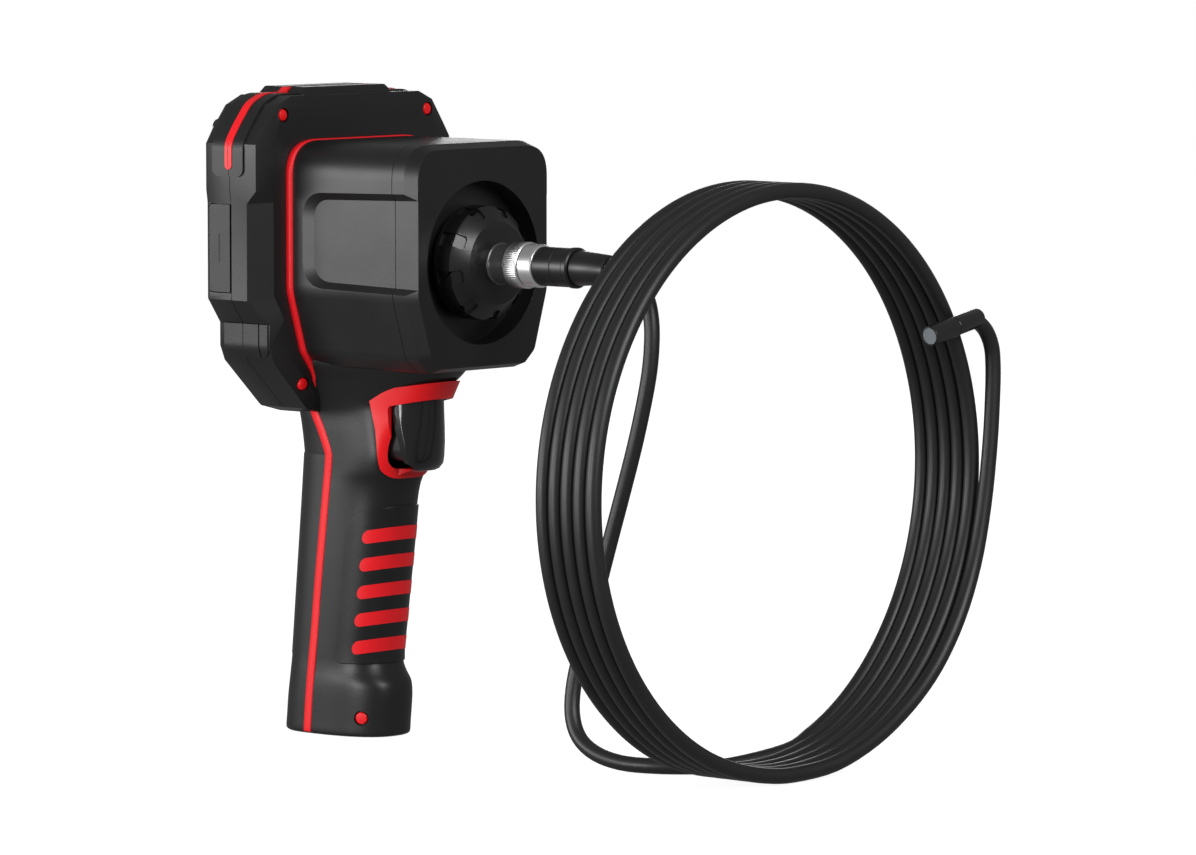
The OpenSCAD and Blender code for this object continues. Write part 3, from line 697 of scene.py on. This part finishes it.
def build_nose():
    body = loft("nose_body_skin", [nose_ring(PLATE_X - 0.3), nose_ring(CAP_X - SEAM)])
    cap = loft("nose_cap_skin", [nose_ring(CAP_X + SEAM), nose_ring(NOSE_X - 5.6), nose_ring(NOSE_X, 1.9)])
    recess = lathe("recess", [
        (CAP_X - 5, 13), (RECESS_X, 13), (RECESS_X, RECESS_R), (NOSE_X + 5, RECESS_R)
    ], FACING, 128)
    cut(body, panel_cutter(-1), panel_cutter(1))
    cut(cap, panel_cutter(-1), panel_cutter(1), recess)
    for piece in (body, cap):
        soften(piece, 0.3, angle=13)
    dress(body, HOUSING, "body", ["front_housing"])
    dress(cap, HOUSING, "body", ["nose_cap"])


build_nose()


# ---------- rotary connector ----------

NOTCHES = 9
NOTCH_HALF = 2.7
FIRST_NOTCH = 23       # degrees
TEETH = 72


def build_dial():
    dial = lathe("dial_skin", [
        (50, 5.2), (50, 9), (65.4, 9), (65.4, 21.4), (66, 22), (74.2, 22), (74.9, 21.5), (79.2, 15.9),
        (79.25, 15.2), (79.9, 11), (80.2, 5.2)
    ], FACING, 160)
    pads, slots = [], []
    rim = Vector((74.9, 0, 21.5))
    down, out = Vector((0.609, 0, -0.793)), Vector((0.793, 0, 0.609))   # along and out of the slope
    outline = rounded([(-NOTCH_HALF, -3), (NOTCH_HALF, -3), (NOTCH_HALF, 4.2), (-NOTCH_HALF, 4.2)],
                      [0, 0, 1.4, 1.4], 6)
    slot = [(-NOTCH_HALF, 21.1), (NOTCH_HALF, 21.1), (NOTCH_HALF, 40), (-NOTCH_HALF, 40)]
    for i in range(NOTCHES):
        angle = math.radians(i * 360 / NOTCHES + FIRST_NOTCH)
        turn = Matrix.Translation((0, 0, PROBE_Z)) @ Matrix.Rotation(angle, 4, "X")
        rings = [[turn @ (rim + down * p[1] + Vector((0, p[0], 0)) + out * deep) for p in outline]
                 for deep in (-1.1, 6)]
        pads.append(loft("pad", rings))
        rings = [[turn @ Vector((x, p[0], p[1])) for p in slot] for x in (67.5, 78)]
        slots.append(loft("slot", rings))
    cut(dial, join("pads", pads))
    cut(dial, join("slots", slots))
    soften(dial, 0.25, angle=25)
    dress(dial, DIAL, "dial_unit", ["dial"])
    neck = lathe("socket_skin", [
        (44, 4.9), (80.1, 4.9), (80.1, 8.1), (80.9, 8.1), (81.2, 7.6), (82, 7.5), (88, 7.5), (92.9, 7.5),
        (93, 6)
    ], FACING, 96)
    soften(neck, 0.15)
    dress(neck, SOCKET, "dial_unit", ["rotary_socket"])


def build_nut():
    rows = ((88.9, 0, 8.3), (89.3, 0, 8.75), (89.7, 0.3, 9), (95.3, 0.3, 9), (95.7, 0, 8.75), (96, 0, 8.3))
    rings = []
    for x, depth, r in rows:
        ring = []
        for k in range(4 * TEETH):
            a = 2 * math.pi * k / (4 * TEETH)
            radius = r - depth * (1 if k % 4 == 0 else 0.5 if k % 2 else 0)
            ring.append((x, radius * math.cos(a), PROBE_Z + radius * math.sin(a)))
        rings.append(ring)
    nut = loft("nut_skin", rings)
    bore = lathe("bore", [(80, 7.6), (94.4, 7.6), (94.4, 6.6), (99, 6.6)], FACING, 96)
    cut(nut, bore)
    for face in nut.data.polygons:
        face.use_smooth = abs(face.normal.x) < 0.5
    dress(nut, CHROME, "nut", ["coupling_nut"])


def build_plug():
    ring = lathe("plug_ring_skin", [
        (93.1, 6.4), (96.3, 6.4), (96.3, 8.15), (96.6, 8.4), (97.1, 8.4), (97.5, 8.2), (102, 8.3),
        (102.5, 8.1), (103, 7.7), (103, 7)
    ], FACING, 96)
    soften(ring, 0.15)
    dress(ring, CHROME, "dial_unit", ["plug_body"])
    sleeve = lathe("plug_sleeve_skin", [
        (103, 6), (103, 7.3), (103.3, 7.5), (111.7, 7.5), (111.95, 7.25), (112.3, 7.25), (112.5, 7.5),
        (117.9, 7.5), (118.4, 7.85), (120.2, 7.85), (120.8, 7.2), (120.8, 5)
    ], FACING, 96)
    soften(sleeve, 0.12)
    dress(sleeve, PLUG, "dial_unit", ["plug_sleeve"])
    boot = lathe("boot_skin", [
        (121.1, 5), (121.1, 6.6), (121.6, 6.8), (136.2, 5.6), (136.9, 5.2), (137, 4.4), (137, 3.05), (135, 3)
    ], FACING, 96)
    soften(boot, 0.12)
    dress(boot, PLUG, "body", ["strain_relief"])


build_dial()
build_nut()
build_plug()


# ---------- grip ----------

RAKE = math.radians(4.8)
PAD_Z0 = 28.5
PAD_Z1 = 88.5
PAD_FIRST = 21         # degrees round the section from its parting line
PAD_TILT = 0.2         # rise of the pad's edges and bars for each millimetre forwards
BAR_COUNT = 5
BAR_Z0 = 35.4
BAR_STEP = 10.66
BAR_FIRST = 39
BAR_HALF = 2.65
MM_PER_DEGREE = 0.42   # along the skin
GAP_HALF = 12.3        # half of the width of the trigger's opening

# Sections of the front moulding: height, parting line, half width there and at the front, front, squareness
FRONT_ROWS = [
    (0, -6.6, 16.6, 16.6, 25.2, 2.5), (0.5, -6.6, 17.1, 17.1, 26, 2.6), (1.6, -6.5, 17.4, 17.4, 26.4, 2.6),
    (6, -6.2, 17.4, 17.4, 26.8, 2.6), (12, -5.7, 17.4, 17.4, 27.4, 2.6), (17, -5.3, 17.4, 17.4, 27.6, 2.6),
    (21, -4.9, 17.3, 17.3, 26.9, 2.6), (25, -4.5, 17.1, 17.1, 24.3, 2.5), (28.5, -4.1, 17, 17, 22.6, 2.5),
    (33, -3.6, 17, 17, 22.6, 2.5), (45, -2.3, 17, 17, 24.3, 2.5), (60, -0.7, 17, 17, 26.3, 2.5),
    (78, 1.5, 17, 17, 28.8, 2.5), (90, 3, 17, 17, 30.3, 2.5), (97, 3.9, 17, 17, 31.4, 2.6),
    (101, 4.4, 17, 16.9, 32, 3), (105, 4.9, 17.05, 16.9, 32.4, 4), (111, 5.3, 17.3, 16.8, 32.6, 4.8),
    (119, 2.4, 17.8, 16.7, 31.8, 5), (127, -1.2, 18.5, 16.6, 31, 5), (131, 0.6, 20.6, 16.6, 33, 4),
    (135, 2.4, 22.8, 16.4, 42, 3), (138, 3.4, 24, 16.2, 49, 2.8), (141, 4.2, 25.2, 16.4, 53.8, 2.8),
    (144.5, 4.2, 27.2, 17, 57.6, 2.8), (147, 4.2, 28, 17, 59.4, 2.8), (151, 4.2, 28, 17, 60, 2.8),
]
# Sections of the rear moulding: the same, running backwards
REAR_ROWS = [
    (0, -6.8, 16.6, 16.6, -24.7, 2.7), (0.5, -6.8, 17.1, 17.1, -25.4, 2.8),
    (1.6, -6.8, 17.4, 17.4, -25.8, 2.8), (6, -6.4, 17.4, 17.4, -25.4, 2.8), (14, -5.6, 17.4, 17.4, -24.7, 2.8),
    (24, -4.6, 17.2, 17.2, -23.3, 2.8), (33, -3.6, 17, 17, -22.3, 2.8), (60, -0.7, 17, 17, -20, 2.8),
    (90, 3, 17, 17, -17.5, 2.8), (108, 5.1, 17.2, 17.2, -16, 2.8), (111, 5.3, 17.3, 17.3, -15.8, 2.8),
    (119, 2.4, 17.8, 17.8, -16, 2.8), (127, -1.2, 18.5, 18.5, -16.2, 2.8), (133, -1.2, 18.6, 18.6, -16.2, 2.8),
]


def section_at(rows, z):
    """The section at a height, between the rows on both sides of it."""
    for a, b in zip(rows, rows[1:]):
        if z <= b[0]:
            t = (z - a[0]) / (b[0] - a[0])
            return [p + (q - p) * t for p, q in zip(a, b)]
    return list(rows[-1])


def section_point(row, angle):
    """A point on a section: 0 is on the parting line to the left, 90 in the middle, 180 on the right."""
    z, start, wide, wide_end, end, square = row
    a = math.radians(angle)
    reach = abs(math.sin(a)) ** (2 / square)
    across = math.copysign(abs(math.cos(a)) ** (2 / square), math.cos(a))
    half = wide + (wide_end - wide) * reach
    return Vector((start + (end - start) * reach, half * across, z))


def dense(rows):
    return [tuple(r) for r in catmull(rows, 4)]


FRONT_DENSE = dense(FRONT_ROWS)
REAR_DENSE = dense(REAR_ROWS)


def skin_point(z, angle, out=0.0, rows=None):
    """A point on the grip's skin, moved outwards."""
    rows = rows or FRONT_DENSE
    row = section_at(rows, z)
    here = section_point(row, angle)
    side = section_point(row, min(180, angle + 0.5)) - section_point(row, max(0, angle - 0.5))
    rise = section_point(section_at(rows, z + 0.4), angle) - section_point(section_at(rows, z - 0.4), angle)
    normal = rise.cross(side).normalized()
    if normal.dot(here - Vector((row[1], 0, z))) < 0:
        normal.negate()
    return here + normal * out


def grip_loft(name, rows):
    sides = 56
    angles = [180 * k / sides for k in range(sides + 1)]
    return loft(name, [[section_point(r, a) for a in angles] for r in rows])


def lean_box(x0, x1, half, z0, z1):
    """A box in the leaning frame of the grip."""
    turn = Matrix.Rotation(RAKE, 4, "Y")
    plan = ((x0, -half), (x1, -half), (x1, half), (x0, half))
    return loft("box", [[turn @ Vector((x, y, z)) for x, y in plan] for z in (z0, z1)])


def trigger_space():
    plan = ((17, -GAP_HALF), (70, -GAP_HALF), (70, GAP_HALF), (17, GAP_HALF))
    return loft("space", [[(x, y, z) for x, y in plan] for z in (104, 138)])


def grip_screw_place(side):
    height, angle = 7.5, 44
    here = section_point(section_at(FRONT_DENSE, height), angle)
    out = skin_point(height, angle, 1) - here
    here.y *= side
    out.y *= side
    return Matrix.Translation(here) @ out.to_track_quat("Z", "Y").to_matrix().to_4x4()


def build_grip():
    front = grip_loft("front_grip_skin", FRONT_DENSE)
    rear = grip_loft("rear_grip_skin", REAR_DENSE)
    holes = [lathe("hole", [(-1.4, 2.75), (0, 2.95), (4, 3.6)], grip_screw_place(s), 40) for s in (-1, 1)]
    cut(front, trigger_space(), join("holes", holes))
    cut(rear, lean_box(-60, 5, 11.85, 29.65, 110.35))
    for piece in (front, rear):
        soften(piece, 0.3, angle=50)
    dress(front, HOUSING, "body", ["front_housing"])
    dress(rear, HOUSING, "body", ["rear_housing"])
    plugs = []
    for side in (-1, 1):
        place = grip_screw_place(side)
        plugs.append(lathe("plug", [(-1.6, 0.3), (-1.6, 2.4), (-0.5, 2.4), (-0.1, 2), (0, 0.2)], place, 40))
    plugs = join("grip_screw_plugs", plugs)
    soften(plugs, 0.15)
    dress(plugs, RED_HARD, "body", ["grip_screws"])


def patch(name, z_low, z_high, angles, out, deep, rows=None):
    """A raised patch on the grip. The z_ functions give its ends at each angle."""
    count = 14
    rings = []
    for a in angles:
        z0, z1 = z_low(a), z_high(a)
        outer = [skin_point(z0 + (z1 - z0) * k / count, a, out, rows) for k in range(count + 1)]
        inner = [skin_point(z0 + (z1 - z0) * k / count, a, -deep, rows) for k in range(count, -1, -1)]
        rings.append(outer + inner)
    return loft(name, rings)


def pad_end(angle, first, radius):
    """How far a rounded corner pulls an edge in, at an angle from the side of the pad."""
    gone = min(angle - first, 180 - first - angle) * MM_PER_DEGREE
    if gone >= radius:
        return 0
    return radius - math.sqrt(max(0, radius * radius - (radius - gone) ** 2))


def tilted(z, angle):
    """A height on the pad, which rises towards the front."""
    return z + PAD_TILT * (skin_point(z, angle).x - 18)


def bar_reach(angle):
    """Half of a bar's height at an angle: its ends are round."""
    gone = min(angle - BAR_FIRST, 180 - BAR_FIRST - angle) * MM_PER_DEGREE
    if gone >= BAR_HALF:
        return BAR_HALF
    return math.sqrt(max(0.01, BAR_HALF ** 2 - (BAR_HALF - gone) ** 2))


def build_pad():
    angles = [PAD_FIRST + (180 - 2 * PAD_FIRST) * k / 80 for k in range(81)]
    pad = patch("grip_pad_skin", lambda a: PAD_Z0 + pad_end(a, PAD_FIRST, 3),
                lambda a: tilted(PAD_Z1, a) - pad_end(a, PAD_FIRST, 8), angles, 0.6, 1.2)
    soften(pad, 0.3, angle=45)
    dress(pad, RUBBER, "body", ["grip_pad"])
    angles = [BAR_FIRST + (180 - 2 * BAR_FIRST) * (1 - math.cos(math.pi * k / 72)) / 2 for k in range(73)]
    bars = []
    for i in range(BAR_COUNT):
        middle = BAR_Z0 + BAR_STEP * i
        bars.append(patch("bar", lambda a: tilted(middle, a) - bar_reach(a),
                          lambda a: tilted(middle, a) + bar_reach(a), angles, 0.75, 0.6))
    bars = join("grip_bars_skin", bars)
    soften(bars, 0.25, angle=45)
    dress(bars, RED, "body", ["grip_bars"])


def build_door():
    angles = [47 + 86 * k / 40 for k in range(41)]
    door = patch("battery_door_skin", lambda a: 30.2, lambda a: 109.8, angles, 0.2, 2, REAR_DENSE)
    soften(door, 0.35, angle=45)
    dress(door, HOUSING, "door", ["battery_door"])


def build_seal():
    """The red gasket: up one side of the grip, round the nose and down the other side."""
    side = [(section_at(FRONT_DENSE, z)[1], -section_at(FRONT_DENSE, z)[2] - 0.35, z)
            for z in (0.7, 3, 20, 40, 60, 80, 100, 108, 112, 120, 126, 129, 134, 139)]
    side += [(5, -26.4, 143)]
    nose = [(5.7, p[0], p[1] - 0.11 * max(0, p[1] - 226)) for p in nose_outline(-1.3)]
    start = max(range(len(nose)), key=lambda i: -abs(nose[i][1] + 29) - abs(nose[i][2] - 150))
    ring = [nose[(start - k) % len(nose)] for k in range(len(nose))]
    top = []
    for p in ring:
        top.append(p)
        if p[1] > 26 and p[2] < 151:
            break
    half = catmull(side + [top[0]], 5)[:-1]
    route = half + [Vector(p) for p in top] + [Vector((p.x, -p.y, p.z)) for p in reversed(half)]
    rings = []
    for i, p in enumerate(route):
        along = (route[min(len(route) - 1, i + 1)] - route[max(0, i - 1)]).normalized()
        flat = Vector((0, along.y, along.z)).normalized()
        normal = Vector((0, -flat.z, flat.y))
        wide = along.cross(normal).normalized()
        half_w = 1.9 - 0.55 * smoothstep((p.z - 125) / 20)
        a, b = p + wide * half_w, p - wide * half_w
        rings.append([a - normal * 2.4, a - normal * 0.25, a - wide * 0.3, b + wide * 0.3, b - normal * 0.25,
                      b - normal * 2.4])
    seal = loft("seal_skin", rings)
    soften(seal, 0.15, angle=60)
    dress(seal, RED, "body", ["trim_seal"])


build_grip()
build_pad()
build_door()
build_seal()


# ---------- trigger ----------

# Trigger sections: height, half width, where its sides begin, its edge and its middle at the front
TRIGGER_ROWS = [
    (105, 4.5, 41.5, 41.7, 42.4), (105.6, 6.8, 41.4, 41.9, 43.6), (107.4, 9.2, 41.2, 41.8, 45),
    (108.6, 10, 38.8, 41.4, 45.5), (110.5, 10.7, 38.2, 41, 46), (116, 11.4, 37.4, 40.4, 46.8),
    (122, 11.8, 35.4, 39.2, 47.2), (128, 11.9, 34, 38, 47.4), (134.6, 11.9, 33.4, 37.4, 47.4),
]


def trigger_front(half, edge, middle):
    """The bowed front of the trigger in plan."""
    points = [-1 + k / 16 for k in range(33)]
    return [(middle - (middle - edge) * abs(t) ** 2.2, half * t) for t in points]


def build_trigger():
    rings = []
    for z, half, side, edge, middle in TRIGGER_ROWS:
        outline = [(side, -half)] + trigger_front(half, edge, middle) + [(side, half)]
        rings.append([(x, y, z) for x, y in outline])
    face = loft("face", rings)
    inner = rounded([(30.8, 134), (38.6, 134), (40, 122), (39.5, 109), (33.6, 108.8), (30.6, 113)],
                    [1, 1, 4, 4, 3, 3], 6)
    core = prism_y("core", inner, -10.9, 10.9)
    lower = rounded([(-10.9, 108.4), (10.9, 108.4), (10.9, 150), (-10.9, 150)], [5, 5, 0, 0], 8)
    cut(core, prism_x("lower", lower, 20, 60), operation="INTERSECT")
    soften(face, 0.9, angle=35, segments=4)
    soften(core, 0.6, angle=40)
    bake(face)
    bake(core)
    trigger = join("trigger_skin", [face, core])
    dress(trigger, GLOSS, "trigger", ["trigger"])


def grown_row(z, more):
    """The section of the front moulding at a height, moved outwards."""
    _, start, wide, wide_end, end, square = section_at(FRONT_DENSE, z)
    return (z, start, wide + more, wide_end + more, end + more, square)


def build_frame():
    """The red frame: a profile cut out of a slightly larger skin, with the trigger's opening through it."""
    profile = rounded([(25.2, 135.8), (42.7, 138.6), (62, 141.6), (62, 134.8), (50, 133.4), (34.4, 130.4),
                       (34.4, 107), (35.6, 107), (35.6, 101.4), (32, 101.6), (30, 105.2), (28.9, 121)],
                      [4, 8, 0, 0, 2, 2, 2, 0, 0, 3, 5, 12], 8)
    band = prism_y("band", profile, -20, 20)
    skin = []
    for step in range(30):
        z = 98 + 1.5 * step
        below = grown_row(min(z, 122), 0.75)
        above = (z, 3, 16.9, 16.9, 50.6 + 0.58 * (z - 133.5), 2.8)
        blend = smoothstep((z - 108) / 22)
        row = [z] + [a + (b - a) * blend for a, b in zip(below[1:], above[1:])]
        skin.append([section_point(row, 180 * k / 64) for k in range(65)])
    cut(band, loft("skin", skin), operation="INTERSECT")
    lip = prism_y("lip", rounded([(30, 105.6), (31.4, 102.4), (36.6, 104.8), (36.6, 106.4), (34, 106.2)],
                                 [0, 2, 1, 0.8, 2], 6), -14, 14)
    plan = [[section_point((z, 3, 12.6, 12.6, 38.2, 2), 180 * k / 48) for k in range(49)] for z in (98, 112)]
    cut(lip, loft("plan", plan), operation="INTERSECT")
    gap = rounded([(-GAP_HALF, 105.6), (GAP_HALF, 105.6), (GAP_HALF, 130), (-GAP_HALF, 130)],
                  [6, 6, 0, 0], 8)
    behind = [(10, -GAP_HALF)] + trigger_front(GAP_HALF, 38.2, 48.5) + [(10, GAP_HALF)]
    cut(band, loft("gap", [[(x, y, z) for x, y in behind] for z in (125, 138.4)]))
    for piece in (band, lip):
        cut(piece, loft("gap", [[(x, p[0], p[1]) for p in gap] for x in (10, 70)]))
        soften(piece, 0.4, angle=40)
        bake(piece)
    frame_skin = join("trigger_frame_skin", [band, lip])
    dress(frame_skin, RED_HARD, "body", ["trigger_frame"])


build_trigger()
build_frame()


# ---------- pieces that keep their own shape ----------

KEPT = {
    "lcd_module": GREY, "main_board": BOARD, "keypad_mat": SOFT, "usb_port": STEEL, "card_slot": STEEL,
    "dial_bearing": BRONZE, "retaining_ring": STEEL, "tip_window": WINDOW, "tip_leds": LED,
    "tip_camera": LENS, "trigger_pin": STEEL, "trigger_spring": STEEL, "trigger_switch": GREY,
    "battery_cells": WRAP, "battery_contacts": STEEL,
}
for node, material in KEPT.items():
    nodes[node].data.materials.clear()
    nodes[node].data.materials.append(material)


# ---------- floor and light ----------

FLOOR_HALF = 60        # metres
FLOOR_Z = -0.0005


def add_floor():
    """A pale floor that the object doesn't mirror."""
    corners = [(x * FLOOR_HALF, y * FLOOR_HALF, FLOOR_Z) for x, y in ((-1, -1), (1, -1), (1, 1), (-1, 1))]
    data = bpy.data.meshes.new("floor")
    data.from_pydata(corners, [], [(0, 1, 2, 3)])
    obj = bpy.data.objects.new("floor", data)
    scene.collection.objects.link(obj)
    mat = plastic("floor_pale", (0.35, 0.35, 0.35), 0.9, specular=0.0)
    shader = mat.node_tree.nodes["Principled BSDF"]
    shader.inputs["Emission Color"].default_value = (1, 1, 1, 1)
    shader.inputs["Emission Strength"].default_value = 0.92
    obj.data.materials.append(mat)
    obj.visible_diffuse = False
    obj.visible_glossy = False


def add_area(name, place, aim, width, power, height):
    """A soft box in metres and watts."""
    data = bpy.data.lights.new(name, "AREA")
    data.shape = "RECTANGLE"
    data.size = width
    data.size_y = height
    data.energy = power
    obj = bpy.data.objects.new(name, data)
    scene.collection.objects.link(obj)
    obj.location = place
    obj.rotation_euler = (Vector(aim) - Vector(place)).to_track_quat("-Z", "Y").to_euler()
    obj.visible_camera = False


def add_world():
    world = bpy.data.worlds.new("studio")
    world.use_nodes = True
    shade = world.node_tree.nodes["Background"]
    shade.inputs["Color"].default_value = (1, 1, 1, 1)
    shade.inputs["Strength"].default_value = 0.22
    scene.world = world


add_floor()
add_world()
add_area("key", (-0.95, -1.25, 0.31), (0.02, 0, 0.17), 0.95, 13, 0.5)
add_area("strip", (0.05, -1.45, 0.2), (0.03, 0, 0.16), 0.5, 9, 0.42)
add_area("fill", (2.1, -0.5, 1.25), (0, 0, 0.13), 1.2, 38, 1.2)
add_area("rim", (-1.1, 1.3, 0.42), (0.05, 0, 0.23), 0.8, 3, 0.2)
